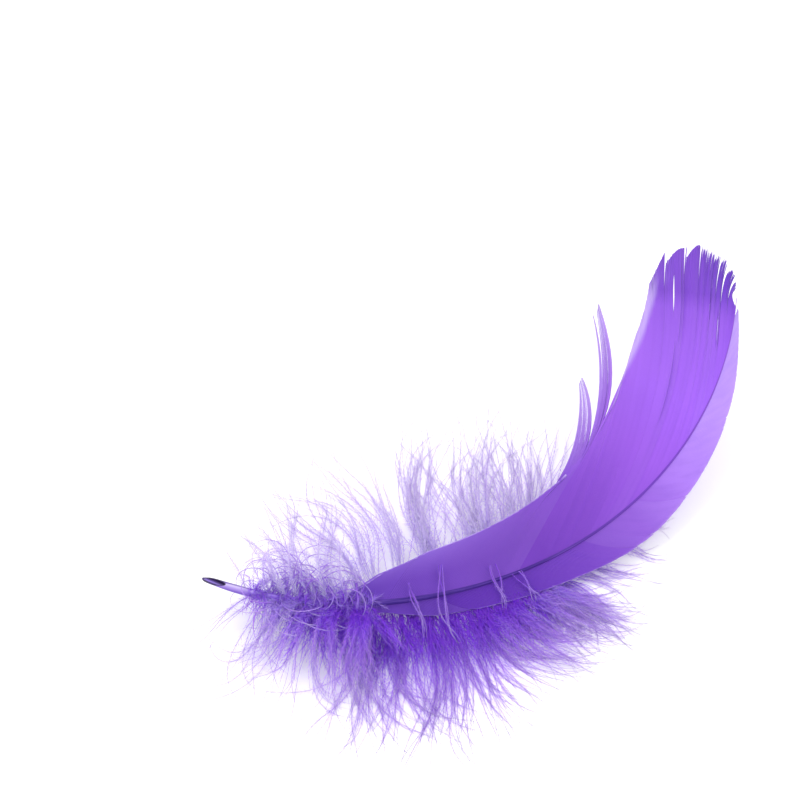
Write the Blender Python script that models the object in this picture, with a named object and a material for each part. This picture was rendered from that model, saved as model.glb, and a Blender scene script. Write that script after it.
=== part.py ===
"""Dyed goose quill feather, lying belly up with the tip of its vane raised.

Metres, Z up, resting on Z = 0. The quill end points to -X and the vane curves round to +Y.
The shaft, both vanes and the locks of down grew as one piece, so they are fused into one solid.
"""
import math

import bpy
import numpy as np

for item in list(bpy.data.objects):
    bpy.data.objects.remove(item, do_unlink=True)

MM = 0.001

# Shaft: quill and rachis are one tapering rod, bent sideways and rising towards the tip
SHAFT_LENGTH = 0.148
QUILL_END = (-0.0555, -0.0141, 0.0062)
HEADING = (-25.3, 148.9, -127.8, 88.2)       # degrees from +X: a cubic in the share of the length
QUILL_PITCH = -1.5                           # degrees
TIP_PITCH = 31.5
RISE_START = 0.42                            # share of the length where the shaft starts to rise
RISE_POWER = 1.3
RADIUS_SHARES = (0.0, 0.05, 0.15, 0.40, 0.60, 0.80, 1.0)
RADII = np.array((0.80, 0.88, 0.80, 0.52, 0.38, 0.28, 0.20)) * MM
SHAFT_SIDES = 10
SHAFT_RINGS = 36
QUILL_WALL = 0.28 * MM
HOLLOW_SHARE = 0.05                          # the open end of the quill is hollow this far in
CUT_SLANT = 1.4                              # how far the cut end slopes, in radii

# Vanes: both are thin sheets; a barb starts on the shaft and ends further on, at a distance from it
STATIONS = (0.20, 0.45, 0.65, 0.80, 1.0)     # shares of the shaft length for the values below
WIDE_ROLL = (26, 26, 24, 18, 10)             # degrees that each vane is tilted about the shaft
NARROW_ROLL = (26, 26, 26, 22, 16)
WIDE_CURL = (12, 16, 20, 20, 8)              # degrees that each vane turns up over CURL_WIDTH
NARROW_CURL = (20, 28, 44, 52, 24)
CURL_WIDTH = 22 * MM
VANE_THICK = 0.60 * MM
EDGE_THICK = 0.40 * MM
WIDE_BARBS = (                               # start share, end share, distance from the shaft in mm
    (0.190, 0.205, 1.4),
    (0.215, 0.262, 6.0),
    (0.260, 0.335, 9.0),
    (0.330, 0.455, 11.0),
    (0.400, 0.560, 12.7),
    (0.430, 0.625, 13.6),
    (0.455, 0.685, 14.9),
    (0.475, 0.740, 16.9),
    (0.500, 0.800, 18.8),
    (0.530, 0.890, 20.2),
    (0.570, 1.005, 19.4),
    (0.595, 1.054, 16.6),
    (0.635, 1.056, 11.6),
    (0.690, 1.068, 9.4),
    (0.760, 1.062, 6.6),
    (0.850, 1.052, 3.9),
    (0.930, 1.040, 1.6),
    (0.985, 1.018, 0.5),
)
NARROW_BARBS = (
    (0.230, 0.250, 1.8),
    (0.280, 0.330, 4.2),
    (0.380, 0.440, 5.2),
    (0.460, 0.530, 6.2),
    (0.540, 0.605, 7.6),
    (0.590, 0.650, 7.9),
    (0.640, 0.700, 7.4),
    (0.700, 0.755, 6.6),
    (0.760, 0.812, 5.6),
    (0.830, 0.875, 4.0),
    (0.900, 0.940, 1.9),
    (0.970, 0.988, 0.6),
)
WIDE_ROWS, WIDE_COLUMNS, WIDE_BOW = 56, 9, 1.8
NARROW_ROWS, NARROW_COLUMNS, NARROW_BOW = 44, 6, 1.4
CLUMP_ROWS = 4                               # barbs hold together in clumps of this many rows
CLUMP_NOTCH = 0.035                          # share of a barb's reach lost between two clumps
SPLITS = ((0.520, 0.10), (0.635, 0.17), (0.790, 0.20), (0.870, 0.20))   # start share, depth
SPLIT_HALF_WIDTH = 0.008

# Down: rows of tapering locks, each rooted in the shaft and running out over the table
# side, count, root shares, angles from the shaft in degrees, lengths at first, middle and last in mm,
# tip height in mm, arch in mm, widest half width in mm
DOWN_ROWS = (
    (-1, 17, (0.085, 0.49), (132, 58), (21, 38, 24), 0.0, 0.4, 3.0),
    (-1, 9, (0.110, 0.34), (120, 84), (16, 26, 29), 2.6, 3.0, 2.7),
    (-1, 4, (0.38, 0.47), (76, 60), (27, 26, 24), 1.6, 0.0, 2.6),
    (+1, 14, (0.080, 0.46), (128, 66), (18, 42, 40), 0.0, 0.4, 2.6),
    (+1, 9, (0.100, 0.30), (136, 92), (15, 23, 26), 8.0, 3.0, 2.0),
    (-1, 6, (0.44, 0.61), (66, 40), (24, 22, 14), 0.0, 0.6, 1.8),
)
LOCK_RINGS = 7
LOCK_FLATNESS = 0.42                         # thickness of a lock over its width
LOCK_LEAST_THICK = 0.16 * MM                 # half thickness towards the tip
LOCK_SWAY = 9.0                              # degrees that a lock sways from side to side
LANDING_SHARE = 0.7                          # share of a lock's length where it has come down

# Loose spikes: barbs that parted from the edge of the wide vane and stand back from it
# root share, root distance in mm, heading and pitch in degrees, length and half width in mm
SPIKES = (
    (0.695, 13.0, 85, 14, 30, 1.1),
    (0.665, 12.4, 88, 10, 23, 1.2),
    (0.638, 12.0, 85, 8, 18, 1.4),
    (0.610, 11.8, 76, 6, 15, 1.5),
    (0.575, 11.0, 66, 4, 14, 1.6),
)
SPIKE_TURN = 16                              # degrees that a spike bends back over its length

VANE_COLOUR = (0.22, 0.07, 0.72, 1.0)


def shaft_direction(share):
    heading = np.radians(np.polynomial.polynomial.polyval(np.minimum(share, 1.0), HEADING))
    rise = np.clip((share - RISE_START) / (1 - RISE_START), 0, 1) ** RISE_POWER
    pitch = np.radians(QUILL_PITCH + (TIP_PITCH - QUILL_PITCH) * rise)
    level = np.cos(pitch)
    return np.stack([level * np.cos(heading), level * np.sin(heading), np.sin(pitch)], axis=-1)


PATH_SHARES = np.linspace(0, 1.1, 441)
PATH_STEPS = shaft_direction((PATH_SHARES[1:] + PATH_SHARES[:-1]) / 2) * SHAFT_LENGTH * 1.1 / 440
PATH = np.vstack([QUILL_END, QUILL_END + np.cumsum(PATH_STEPS, axis=0)])


def shaft_centre(share):
    return np.stack([np.interp(share, PATH_SHARES, PATH[:, axis]) for axis in range(3)], axis=-1)


def shaft_frame(share, roll):
    """Along, across and up at a share of the shaft; roll in radians tilts across upwards."""
    along = shaft_direction(share)
    level = np.stack([-along[..., 1], along[..., 0], np.zeros_like(along[..., 0])], axis=-1)
    level /= np.linalg.norm(level, axis=-1, keepdims=True)
    up = np.cross(along, level)
    cos, sin = np.cos(roll)[..., None], np.sin(roll)[..., None]
    return along, cos * level + sin * up, cos * up - sin * level


def solid(name, points, faces):
    mesh = bpy.data.meshes.new(name)
    mesh.from_pydata([tuple(point) for point in points], [], faces)
    mesh.validate()
    thing = bpy.data.objects.new(name, mesh)
    bpy.context.collection.objects.link(thing)
    return thing


def tube_faces(rings, sides):
    return [(ring * sides + side, ring * sides + (side + 1) % sides,
             (ring + 1) * sides + (side + 1) % sides, (ring + 1) * sides + side)
            for ring in range(rings - 1) for side in range(sides)]


def make_shaft():
    """Outer rings from the cut end to the tip, then inner rings from the cut end into the hollow."""
    outer = np.linspace(0, 1, SHAFT_RINGS)
    inner = np.linspace(0, HOLLOW_SHARE, 4)
    turn = np.linspace(0, 2 * math.pi, SHAFT_SIDES, endpoint=False)
    rings = []
    for share, wall in [(s, 0.0) for s in inner[::-1]] + [(s, None) for s in outer]:
        along, across, up = shaft_frame(np.array(share), np.array(0.0))
        radius = np.interp(share, RADIUS_SHARES, RADII)
        if wall is not None:
            radius -= QUILL_WALL * (1.0 if share < HOLLOW_SHARE else 2.2)
        ring = shaft_centre(share) + radius * (np.cos(turn)[:, None] * across + np.sin(turn)[:, None] * up)
        if share == 0:
            ring += along * (1 + np.sin(turn))[:, None] * radius * CUT_SLANT / 2
        rings.append(ring)
    faces = tube_faces(len(rings), SHAFT_SIDES)
    last = (len(rings) - 1) * SHAFT_SIDES
    faces += [tuple(range(SHAFT_SIDES))[::-1], tuple(range(last, last + SHAFT_SIDES))]
    return solid("shaft", np.vstack(rings), faces)


def vane_surface(side, share, width):
    """Points of a vane's middle surface and the directions across its thickness."""
    roll = np.radians(np.interp(share, STATIONS, WIDE_ROLL if side > 0 else NARROW_ROLL))
    curl = np.radians(np.interp(share, STATIONS, WIDE_CURL if side > 0 else NARROW_CURL))
    along, across, up = shaft_frame(share, roll)
    turn = np.maximum(curl * width / CURL_WIDTH, 1e-6)[..., None]
    reach = width[..., None] / turn
    point = shaft_centre(share) + side * across * reach * np.sin(turn) + up * reach * (1 - np.cos(turn))
    return point, np.cos(turn) * up - side * np.sin(turn) * across


def make_vane(name, side, barbs, rows, columns, bow):
    start, end, width = np.array(barbs).T
    first = np.interp(np.linspace(0, 1, rows), np.linspace(0, 1, len(start)), start)
    last = np.interp(first, start, end)
    wide = np.interp(first, start, width) * MM
    reach = 1 - CLUMP_NOTCH * (np.arange(rows) % CLUMP_ROWS == 0)
    for share, depth in SPLITS if side > 0 else ():
        reach -= depth * np.clip(1 - np.abs(first - share) / SPLIT_HALF_WIDTH, 0, 1)
    along_barb = np.linspace(0, 1, columns)[None, :] * reach[:, None]
    share = first[:, None] + (last - first)[:, None] * along_barb
    across = wide[:, None] * (1 - (1 - along_barb) ** bow)
    middle, normal = vane_surface(side, share, across)
    half = (VANE_THICK + (EDGE_THICK - VANE_THICK) * along_barb[..., None]) / 2
    points = np.vstack([(middle + normal * half).reshape(-1, 3), (middle - normal * half).reshape(-1, 3)])
    under = rows * columns
    faces = []
    for row in range(rows - 1):
        for column in range(columns - 1):
            a = row * columns + column
            b, c, d = a + 1, a + columns + 1, a + columns
            faces += [(a, d, c, b), (a + under, b + under, c + under, d + under)]
    rim = [(r * columns + columns - 1) for r in range(rows)]
    rim = ([c for c in range(columns)] + rim[1:] + [(rows - 1) * columns + c for c in range(columns - 2, -1, -1)]
           + [r * columns for r in range(rows - 2, 0, -1)])
    for a, b in zip(rim, rim[1:] + rim[:1]):
        faces.append((a, b, b + under, a + under))
    if side < 0:
        faces = [face[::-1] for face in faces]
    return solid(name, points, faces)


def lock_taper(share):
    return np.minimum(1, 0.28 + 2.6 * share) * (1 - share) ** 0.75


def make_lock(name, path, half_width):
    """A flattened, tapering lock along a path, pointed at its tip."""
    count = len(path)
    along = np.gradient(path, axis=0)
    along /= np.linalg.norm(along, axis=1, keepdims=True)
    level = np.cross((0, 0, 1), along)
    level /= np.linalg.norm(level, axis=1, keepdims=True)
    up = np.cross(along, level)
    share = np.linspace(0, 1, count)
    size = half_width * lock_taper(share)
    rings = []
    for index in range(count - 1):
        sideways = level[index] * size[index]
        thick = up[index] * max(size[index] * LOCK_FLATNESS, LOCK_LEAST_THICK)
        rings += [path[index] + sideways, path[index] + thick, path[index] - sideways, path[index] - thick]
    tip = len(rings)
    faces = tube_faces(count - 1, 4) + [(3, 2, 1, 0)]
    faces += [(tip - 4 + side, tip - 4 + (side + 1) % 4, tip) for side in range(4)]
    return solid(name, rings + [path[-1]], faces)


def down_locks():
    chance = np.random.default_rng(11)
    share = np.linspace(0, 1, LOCK_RINGS)
    made = []
    for row, (side, count, roots, angles, lengths, tip_height, arch, half_width) in enumerate(DOWN_ROWS):
        for index, place in enumerate(np.linspace(0, 1, count)):
            root_share = roots[0] + (roots[1] - roots[0]) * place
            root = shaft_centre(root_share)
            length = np.interp(place, (0, 0.5, 1), lengths) * MM * chance.uniform(0.9, 1.1)
            heading = np.polynomial.polynomial.polyval(root_share, HEADING)
            heading += side * (angles[0] + (angles[1] - angles[0]) * place + chance.uniform(-7, 7))
            sway = LOCK_SWAY * np.sin(2 * math.pi * (share + chance.uniform(0, 1)))
            bearing = np.radians(heading + sway - side * 14 * share)
            step = length / (LOCK_RINGS - 1)
            x = root[0] + np.concatenate([[0], np.cumsum(np.cos(bearing[1:]) * step)])
            y = root[1] + np.concatenate([[0], np.cumsum(np.sin(bearing[1:]) * step)])
            drop = np.minimum(share / LANDING_SHARE, 1)
            settle = drop * drop * (3 - 2 * drop)
            height = root[2] + (tip_height * MM * chance.uniform(0.8, 1.3) - root[2]) * settle
            height += arch * MM * np.sin(math.pi * drop)
            width = half_width * MM * chance.uniform(0.85, 1.15)
            height = np.maximum(height, np.maximum(width * LOCK_FLATNESS * lock_taper(share), LOCK_LEAST_THICK))
            made.append(make_lock(f"lock_{row}_{index}", np.stack([x, y, height], axis=-1), width))
    return made


def loose_spikes():
    made = []
    share = np.linspace(0, 1, LOCK_RINGS)
    for index, (root_share, distance, heading, pitch, length, half_width) in enumerate(SPIKES):
        root, _ = vane_surface(1, np.array(root_share), np.array(distance * MM))
        bearing = np.radians(heading + SPIKE_TURN * share)
        rise = math.radians(pitch)
        step = length * MM / (LOCK_RINGS - 1)
        x = root[0] + np.concatenate([[0], np.cumsum(np.cos(bearing[1:]) * math.cos(rise) * step)])
        y = root[1] + np.concatenate([[0], np.cumsum(np.sin(bearing[1:]) * math.cos(rise) * step)])
        z = root[2] + share * length * MM * math.sin(rise)
        made.append(make_lock(f"spike_{index}", np.stack([x, y, z], axis=-1), half_width * MM))
    return made


def fuse(body, others):
    """Join the others to the body, one union at a time, and remove them."""
    for other in others:
        union = body.modifiers.new("grown_together", "BOOLEAN")
        union.operation = "UNION"
        union.solver = "EXACT"
        union.object = other
        bpy.context.view_layer.objects.active = body
        bpy.ops.object.modifier_apply(modifier=union.name)
        bpy.data.objects.remove(other, do_unlink=True)
    return body


feather = make_shaft()
feather.name = "feather"
parts = [make_vane("wide_vane", 1, WIDE_BARBS, WIDE_ROWS, WIDE_COLUMNS, WIDE_BOW)]
parts.append(make_vane("narrow_vane", -1, NARROW_BARBS, NARROW_ROWS, NARROW_COLUMNS, NARROW_BOW))
fuse(feather, parts + down_locks() + loose_spikes())

keratin = bpy.data.materials.new("dyed_keratin")
keratin.use_nodes = True
surface = keratin.node_tree.nodes["Principled BSDF"]
surface.inputs["Base Color"].default_value = VANE_COLOUR
surface.inputs["Roughness"].default_value = 0.6
feather.data.materials.clear()
feather.data.materials.append(keratin)
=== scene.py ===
import math
import bpy
import numpy as np
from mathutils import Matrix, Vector


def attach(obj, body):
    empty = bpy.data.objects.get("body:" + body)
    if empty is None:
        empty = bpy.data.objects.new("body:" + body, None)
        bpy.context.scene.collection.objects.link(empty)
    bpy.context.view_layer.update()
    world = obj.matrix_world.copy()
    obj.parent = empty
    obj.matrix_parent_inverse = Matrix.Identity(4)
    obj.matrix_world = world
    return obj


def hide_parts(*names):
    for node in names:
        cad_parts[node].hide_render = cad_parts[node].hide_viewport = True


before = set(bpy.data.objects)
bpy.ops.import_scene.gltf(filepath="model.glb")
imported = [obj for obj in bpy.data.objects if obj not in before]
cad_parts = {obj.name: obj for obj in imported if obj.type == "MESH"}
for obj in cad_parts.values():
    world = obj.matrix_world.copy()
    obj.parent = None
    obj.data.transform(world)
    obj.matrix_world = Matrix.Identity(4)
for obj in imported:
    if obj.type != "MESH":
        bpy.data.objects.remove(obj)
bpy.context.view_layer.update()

# Table, light and camera
# The feather lies on a plain white table under soft light from all sides, and is seen from in
# front of it and well above, from far enough away that nothing looks stretched.
MM = 0.001
CAMERA_AIM = Vector((-0.0147, 0.0275, 0.0102))
CAMERA_DISTANCE = 0.55
CAMERA_HEIGHT_ANGLE = math.radians(55)
PHOTO_SCALE = 0.000214                       # metres to a pixel at the aim point
IMAGE_SIDE = 800
TABLE_SIDE = 6.0

camera_data = bpy.data.cameras.new("camera")
camera_data.sensor_width = 36
camera_data.lens = 36 * CAMERA_DISTANCE / PHOTO_SCALE / IMAGE_SIDE
camera_data.clip_start = 0.01
camera = bpy.data.objects.new("camera", camera_data)
bpy.context.collection.objects.link(camera)
looking = Vector((0, math.cos(CAMERA_HEIGHT_ANGLE), -math.sin(CAMERA_HEIGHT_ANGLE)))
camera.location = CAMERA_AIM - CAMERA_DISTANCE * looking
camera.rotation_euler = looking.to_track_quat("-Z", "Y").to_euler()
bpy.context.scene.camera = camera
bpy.context.scene.view_settings.view_transform = "Standard"

world = bpy.data.worlds.new("soft_room")
world.use_nodes = True
world.node_tree.nodes["Background"].inputs["Color"].default_value = (1.0, 1.0, 1.0, 1.0)
world.node_tree.nodes["Background"].inputs["Strength"].default_value = 0.86
bpy.context.scene.world = world

for name, place, size, power in (
        ("window_light", (-0.5, 0.5, 0.9), 0.8, 6.0),
        ("fill_light", (0.7, -0.3, 0.8), 0.8, 2.0)):
    lamp_data = bpy.data.lights.new(name, "AREA")
    lamp_data.size = size
    lamp_data.energy = power
    lamp = bpy.data.objects.new(name, lamp_data)
    lamp.location = place
    lamp.rotation_euler = (-Vector(place)).to_track_quat("-Z", "Y").to_euler()
    bpy.context.collection.objects.link(lamp)

table_mesh = bpy.data.meshes.new("table")
half = TABLE_SIDE / 2
table_corners = [(-half, -half, 0), (half, -half, 0), (half, half, 0), (-half, half, 0)]
table_mesh.from_pydata(table_corners, [], [(0, 1, 2, 3)])
table = bpy.data.objects.new("table", table_mesh)
bpy.context.collection.objects.link(table)
white_card = bpy.data.materials.new("white_card")
white_card.use_nodes = True
card_surface = white_card.node_tree.nodes["Principled BSDF"]
card_surface.inputs["Base Color"].default_value = (0.9, 0.9, 0.9, 1)
card_surface.inputs["Roughness"].default_value = 0.9
card_surface.inputs["Specular IOR Level"].default_value = 0.1
card_surface.inputs["Emission Color"].default_value = (1.0, 1.0, 1.0, 1.0)
card_surface.inputs["Emission Strength"].default_value = 0.22
table.data.materials.append(white_card)

# Shaft
# One tapering rod of dyed keratin: a bare quill, cut slantwise and hollow at its end, then the
# rachis, which thins to a hair at the tip and has a shallow groove along its belly side.
SHAFT_LENGTH = 0.148
QUILL_END = (-0.0555, -0.0141, 0.0062)
HEADING = (-25.3, 148.9, -127.8, 88.2)       # degrees from +X: a cubic in the share of the length
QUILL_PITCH = -1.5                           # degrees
TIP_PITCH = 31.5
RISE_START = 0.42                            # share of the length where the shaft starts to rise
RISE_POWER = 1.3
PATH_END = 1.1                               # its line goes on past the tip, for barbs that end there
PATH_SEGMENTS = 440
RADIUS_SHARES = (0.0, 0.05, 0.15, 0.40, 0.60, 0.80, 1.0)
RADII = np.array((0.80, 0.88, 0.74, 0.40, 0.26, 0.18, 0.07)) * MM
SHAFT_SIDES = 28
SHAFT_RINGS = 260
QUILL_WALL = 0.26 * MM
HOLLOW_SHARE = 0.06                          # the open end of the quill is hollow this far in
BORE_RINGS = 12
BORE_NARROWING = 0.3 * MM                    # how much the bore has narrowed where it ends
CUT_SLANT = 5.4 * MM                         # how much further in the upper edge of the cut is
CUT_FADE = 0.042                             # share of the length over which the slant dies away
GROOVE_START = 0.12                          # share of the length
GROOVE_FADE = 0.1                            # share of the length over which the groove deepens
GROOVE_DEPTH = 0.45                          # share of the radius
GROOVE_HALF_ANGLE = 0.45                     # radians


def shaft_direction(share):
    heading = np.radians(np.polynomial.polynomial.polyval(np.minimum(share, 1.0), HEADING))
    rise = np.clip((share - RISE_START) / (1 - RISE_START), 0, 1) ** RISE_POWER
    pitch = np.radians(QUILL_PITCH + (TIP_PITCH - QUILL_PITCH) * rise)
    level = np.cos(pitch)
    return np.stack([level * np.cos(heading), level * np.sin(heading), np.sin(pitch)], axis=-1)


path_shares = np.linspace(0, PATH_END, PATH_SEGMENTS + 1)
path_middles = (path_shares[1:] + path_shares[:-1]) / 2
path_steps = shaft_direction(path_middles) * SHAFT_LENGTH * PATH_END / PATH_SEGMENTS
shaft_path = np.vstack([QUILL_END, QUILL_END + np.cumsum(path_steps, axis=0)])


def shaft_centre(share):
    return np.stack([np.interp(share, path_shares, shaft_path[:, axis]) for axis in range(3)], axis=-1)


def shaft_frame(share, roll):
    """Along, across and up at a share of the shaft; roll in radians tilts across upwards."""
    along = shaft_direction(share)
    level = np.stack([-along[..., 1], along[..., 0], np.zeros_like(along[..., 0])], axis=-1)
    level /= np.linalg.norm(level, axis=-1, keepdims=True)
    up = np.cross(along, level)
    cos, sin = np.cos(roll)[..., None], np.sin(roll)[..., None]
    return along, cos * level + sin * up, cos * up - sin * level


def put_attribute(mesh, name, values):
    vectors = np.ndim(values) == 2
    layer = mesh.attributes.new(name, "FLOAT_VECTOR" if vectors else "FLOAT", "POINT")
    layer.data.foreach_set("vector" if vectors else "value", np.ravel(values).astype(np.float32))


def add_node(material, kind, inputs=(), **settings):
    """A shader node; an input that is another node's socket is linked, and any other is set."""
    node = material.node_tree.nodes.new(kind)
    for key, value in settings.items():
        setattr(node, key, value)
    for key, value in dict(inputs).items():
        if isinstance(value, bpy.types.NodeSocket):
            material.node_tree.links.new(value, node.inputs[key])
        else:
            node.inputs[key].default_value = value
    return node


def srgb(red, green, blue):
    """A colour picked on a screen, 0 to 255, as the shader's linear colour."""
    scaled = [channel / 255 for channel in (red, green, blue)]
    return tuple(c / 12.92 if c <= 0.04045 else ((c + 0.055) / 1.055) ** 2.4 for c in scaled) + (1.0,)


def colour_ramp(material, position, stops):
    ramp = add_node(material, "ShaderNodeValToRGB", {"Fac": position})
    elements = ramp.color_ramp.elements
    while len(elements) < len(stops):
        elements.new(1.0)
    for element, (place, colour) in zip(elements, stops):
        element.position = place
        element.color = srgb(*colour)
    return ramp.outputs["Color"]


def attribute(material, name):
    return add_node(material, "ShaderNodeAttribute", attribute_name=name).outputs["Fac"]


def fix_to_feather(piece):
    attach(piece, "root")
    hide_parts("feather")


turn = np.linspace(0, 2 * math.pi, SHAFT_SIDES, endpoint=False)
outer = np.linspace(0, 1, SHAFT_RINGS)
inner = np.linspace(0, HOLLOW_SHARE, BORE_RINGS)
points, shares, arounds, insides = [], [], [], []
for share, hollow in [(s, True) for s in inner[::-1]] + [(s, False) for s in outer]:
    along, across, up = shaft_frame(np.array(share), np.array(0.0))
    radius = np.interp(share, RADIUS_SHARES, RADII) * np.ones(SHAFT_SIDES)
    if hollow:
        radius -= QUILL_WALL + BORE_NARROWING * (share / HOLLOW_SHARE) ** 4
    else:
        groove = np.exp(-((turn - math.pi / 2) / GROOVE_HALF_ANGLE) ** 2)
        radius *= 1 - GROOVE_DEPTH * groove * np.clip((share - GROOVE_START) / GROOVE_FADE, 0, 1)
    spokes = np.cos(turn)[:, None] * across + np.sin(turn)[:, None] * up
    ring = shaft_centre(share) + radius[:, None] * spokes
    ring += along * ((1 + np.sin(turn)) * CUT_SLANT / 2 * np.exp(-share / CUT_FADE))[:, None]
    points.append(ring)
    shares.append(np.full(SHAFT_SIDES, share))
    arounds.append(turn / (2 * math.pi))
    insides.append(np.full(SHAFT_SIDES, float(hollow)))
rings = len(points)
faces = [(r * SHAFT_SIDES + s, r * SHAFT_SIDES + (s + 1) % SHAFT_SIDES,
          (r + 1) * SHAFT_SIDES + (s + 1) % SHAFT_SIDES, (r + 1) * SHAFT_SIDES + s)
         for r in range(rings - 1) for s in range(SHAFT_SIDES)]
last = (rings - 1) * SHAFT_SIDES
faces += [tuple(range(SHAFT_SIDES))[::-1], tuple(range(last, last + SHAFT_SIDES))]
shaft_mesh = bpy.data.meshes.new("shaft")
shaft_mesh.from_pydata([tuple(p) for p in np.vstack(points)], [], faces)
shaft_mesh.shade_smooth()
put_attribute(shaft_mesh, "share", np.concatenate(shares))
put_attribute(shaft_mesh, "around", np.concatenate(arounds))
put_attribute(shaft_mesh, "inside", np.concatenate(insides))
shaft = bpy.data.objects.new("shaft", shaft_mesh)
bpy.context.collection.objects.link(shaft)


def mix_colours(material, amount, first, second):
    node = material.node_tree.nodes.new("ShaderNodeMix")
    node.data_type = "RGBA"
    for index, value in ((0, amount), (6, first), (7, second)):
        if isinstance(value, bpy.types.NodeSocket):
            material.node_tree.links.new(value, node.inputs[index])
        else:
            node.inputs[index].default_value = value
    return node.outputs[2]


def noise(material, place, scale, size=1.0, detail=3.0):
    """Noise on a place stretched by scale along each of its axes."""
    stretched = add_node(material, "ShaderNodeMapping", {"Vector": place, "Scale": scale}).outputs["Vector"]
    cloudy = add_node(material, "ShaderNodeTexNoise", {"Vector": stretched, "Scale": size, "Detail": detail})
    return cloudy.outputs["Fac"]


def ramp_value(material, position, stops):
    """A plain number that goes from the first stop to the second, each a position and a value."""
    ramp = add_node(material, "ShaderNodeMapRange", {
        "Value": position, "From Min": stops[0][0], "From Max": stops[1][0],
        "To Min": stops[0][1], "To Max": stops[1][1]})
    return ramp.outputs["Result"]


keratin = bpy.data.materials.new("dyed_keratin")
keratin.use_nodes = True
keratin_surface = keratin.node_tree.nodes["Principled BSDF"]
along_shaft = attribute(keratin, "share")
around_shaft = attribute(keratin, "around")
shaft_place = add_node(keratin, "ShaderNodeCombineXYZ", {
    "X": along_shaft, "Y": around_shaft}).outputs["Vector"]
dye_and_painted_shading = colour_ramp(keratin, along_shaft, (
    (0.0, (126, 74, 206)), (0.15, (126, 74, 206)), (0.27, (52, 4, 128)), (0.50, (58, 8, 130)),
    (0.70, (104, 46, 176)), (1.0, (148, 90, 214))))
# painted light and shade round the bare quill: lighter along its top, darker down its sides and underside
painted_quill_shading = colour_ramp(keratin, around_shaft, (
    (0.0, (60, 24, 120)), (0.15, (84, 50, 150)), (0.23, (204, 188, 238)), (0.36, (170, 142, 226)),
    (0.48, (118, 76, 200)), (0.60, (76, 36, 156)), (1.0, (60, 24, 120))))
dye_and_painted_shading = mix_colours(keratin, ramp_value(keratin, along_shaft, ((0.04, 1.0), (0.13, 0.0))), dye_and_painted_shading, painted_quill_shading)
# painted shade in the hollow of the quill, dark navy, with a painted light streak where its floor faces up
painted_bore_shading = colour_ramp(keratin, around_shaft, (
    (0.0, (24, 6, 56)), (0.64, (30, 8, 70)), (0.73, (150, 126, 214)), (0.78, (120, 92, 196)),
    (0.84, (30, 8, 70)), (1.0, (24, 6, 56))))
dye_and_painted_shading = mix_colours(keratin, attribute(keratin, "inside"), dye_and_painted_shading, painted_bore_shading)
# painted shade: a dark band along the rim of the cut
painted_cut_shade = ramp_value(keratin, along_shaft, ((0.002, 0.9), (0.007, 0.0)))
dye_and_painted_shading = mix_colours(keratin, painted_cut_shade, dye_and_painted_shading, srgb(28, 8, 62))
streaks = noise(keratin, shaft_place, (16, 9, 1))
worn = ramp_value(keratin, streaks, ((0.45, 0.0), (0.75, 0.3)))
streaky = mix_colours(keratin, worn, dye_and_painted_shading, srgb(150, 110, 225))
keratin.node_tree.links.new(streaky, keratin_surface.inputs["Base Color"])
dull = ramp_value(keratin, along_shaft, ((0.1, 0.30), (0.3, 0.75)))
uneven_gloss = add_node(keratin, "ShaderNodeMath", {
    0: dull, 1: ramp_value(keratin, streaks, ((0.3, -0.06), (0.7, 0.08)))}, operation="ADD").outputs[0]
keratin.node_tree.links.new(uneven_gloss, keratin_surface.inputs["Roughness"])
keratin_surface.inputs["IOR"].default_value = 1.50
growth_lines = add_node(keratin, "ShaderNodeBump", {
    "Height": noise(keratin, shaft_place, (60, 22, 1), detail=5.0), "Strength": 0.25, "Distance": 0.00005})
keratin.node_tree.links.new(growth_lines.outputs["Normal"], keratin_surface.inputs["Normal"])
shaft.data.materials.append(keratin)
fix_to_feather(shaft)

# Vanes
# Each vane is a web of barbs, flat ridged strips of dyed keratin that leave the shaft slantwise,
# lie edge over edge and hook together. They part into clumps at the margin and at the tip.
STATIONS = (0.20, 0.45, 0.65, 0.80, 1.0)     # shares of the shaft length for the values below
WIDE_ROLL = (26, 26, 24, 18, 10)             # degrees that each vane is tilted about the shaft
NARROW_ROLL = (26, 26, 26, 22, 16)
WIDE_CURL = (12, 16, 20, 20, 8)              # degrees that each vane turns up over CURL_WIDTH
NARROW_CURL = (20, 28, 44, 52, 24)
CURL_WIDTH = 22 * MM
WIDE_BARBS = (                               # start share, end share, distance from the shaft in mm
    (0.190, 0.205, 1.4),
    (0.215, 0.262, 6.0),
    (0.260, 0.335, 9.0),
    (0.330, 0.455, 11.0),
    (0.400, 0.560, 12.7),
    (0.430, 0.625, 13.6),
    (0.455, 0.685, 14.9),
    (0.475, 0.740, 16.9),
    (0.500, 0.800, 18.8),
    (0.530, 0.890, 20.2),
    (0.570, 1.008, 19.5),
    (0.595, 1.058, 16.5),
    (0.635, 1.066, 12.1),
    (0.690, 1.072, 9.3),
    (0.760, 1.064, 6.9),
    (0.840, 1.055, 4.3),
    (0.905, 1.034, 2.5),
    (0.985, 1.012, 1.3),
)
NARROW_BARBS = (
    (0.230, 0.250, 1.8),
    (0.280, 0.330, 4.2),
    (0.380, 0.440, 5.2),
    (0.460, 0.530, 6.2),
    (0.540, 0.605, 7.6),
    (0.590, 0.650, 7.9),
    (0.640, 0.700, 7.4),
    (0.700, 0.755, 6.6),
    (0.760, 0.812, 5.6),
    (0.830, 0.875, 4.0),
    (0.900, 0.940, 1.9),
    (0.970, 0.988, 0.6),
)
SPLITS = (   # start share, depth as a share of the barb, start shares over which the next lobe rounds off
    (0.455, 0.010, 0.006),
    (0.520, 0.012, 0.006),
    (0.596, 0.045, 0.030),
    (0.636, 0.042, 0.045),
    (0.700, 0.008, 0.010),
    (0.735, 0.024, 0.016),
    (0.775, 0.026, 0.016),
    (0.812, 0.028, 0.016),
    (0.850, 0.085, 0.040),
    (0.912, 0.100, 0.040),
)
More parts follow.
